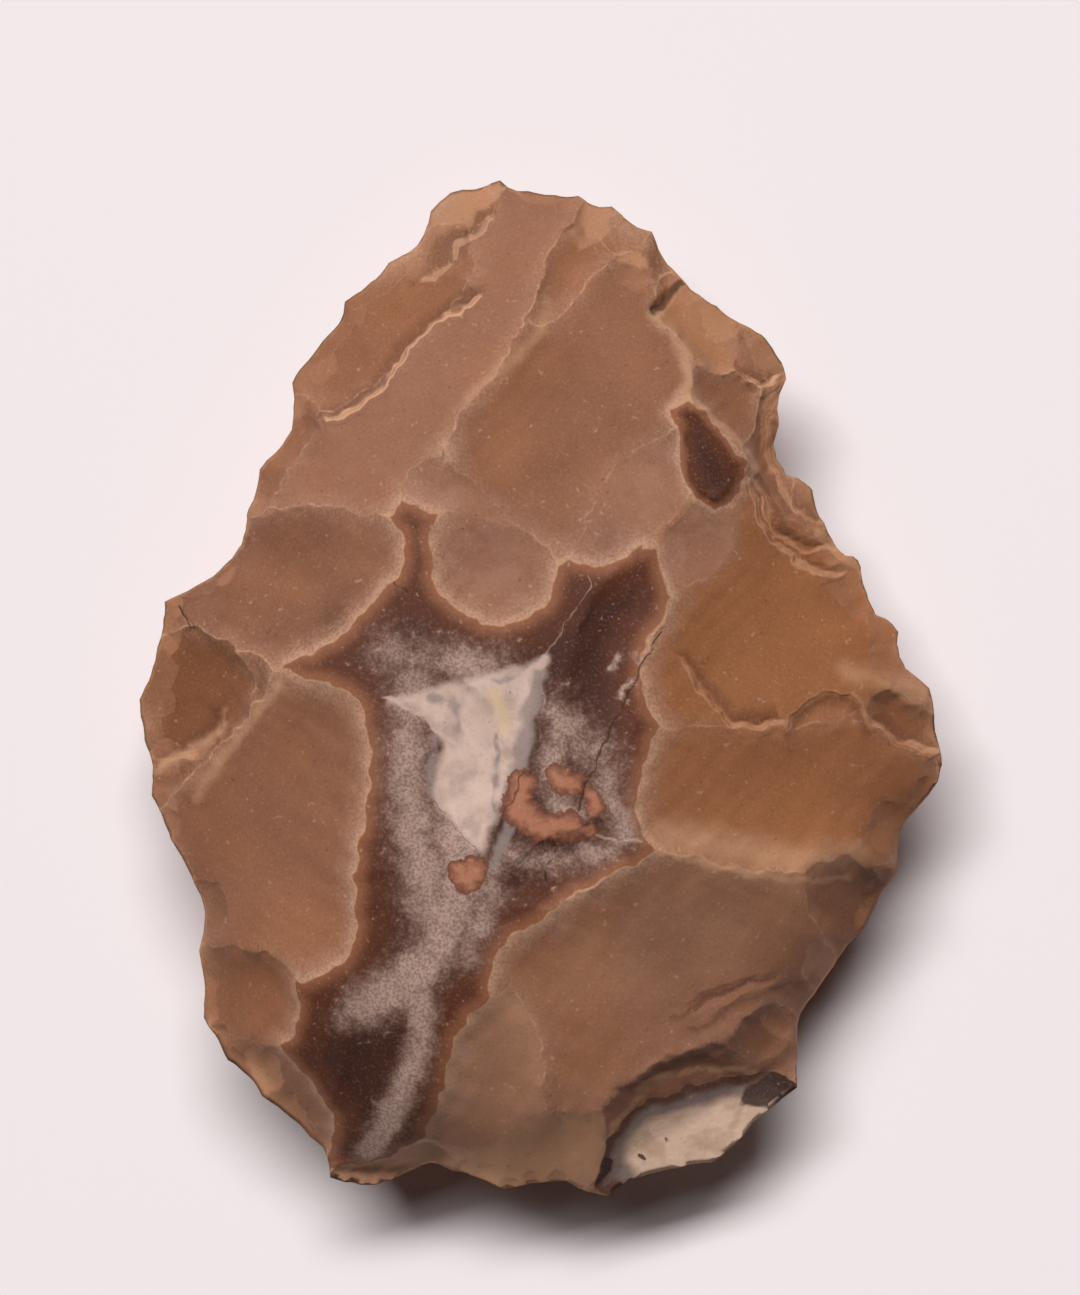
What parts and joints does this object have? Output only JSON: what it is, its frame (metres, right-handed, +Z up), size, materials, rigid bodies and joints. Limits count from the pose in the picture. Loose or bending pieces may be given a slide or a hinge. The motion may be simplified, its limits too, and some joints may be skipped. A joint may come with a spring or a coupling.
{
  "type": "stone hand axe",
  "caption": "Pointed stone hand axe flaked on both faces, with scalloped edges and a dark old core, lying on a flat facet of its underside.",
  "frame": {"origin": "middle of the bounding box, on the surface that the underside's flat facet rests on", "axes": "+Y along the length towards the tip, +X to the right when looking down with the tip ahead, +Z up through the thickness"},
  "size_m": [0.0886, 0.112, 0.0312],
  "materials": {
    "flint": "knapped flint, brown and slightly glossy, with a dark purplish unflaked core and a cream cortex patch"
  },
  "bodies": {
    "root": {"hand_axe": "flint"}
  },
  "joints": []
}
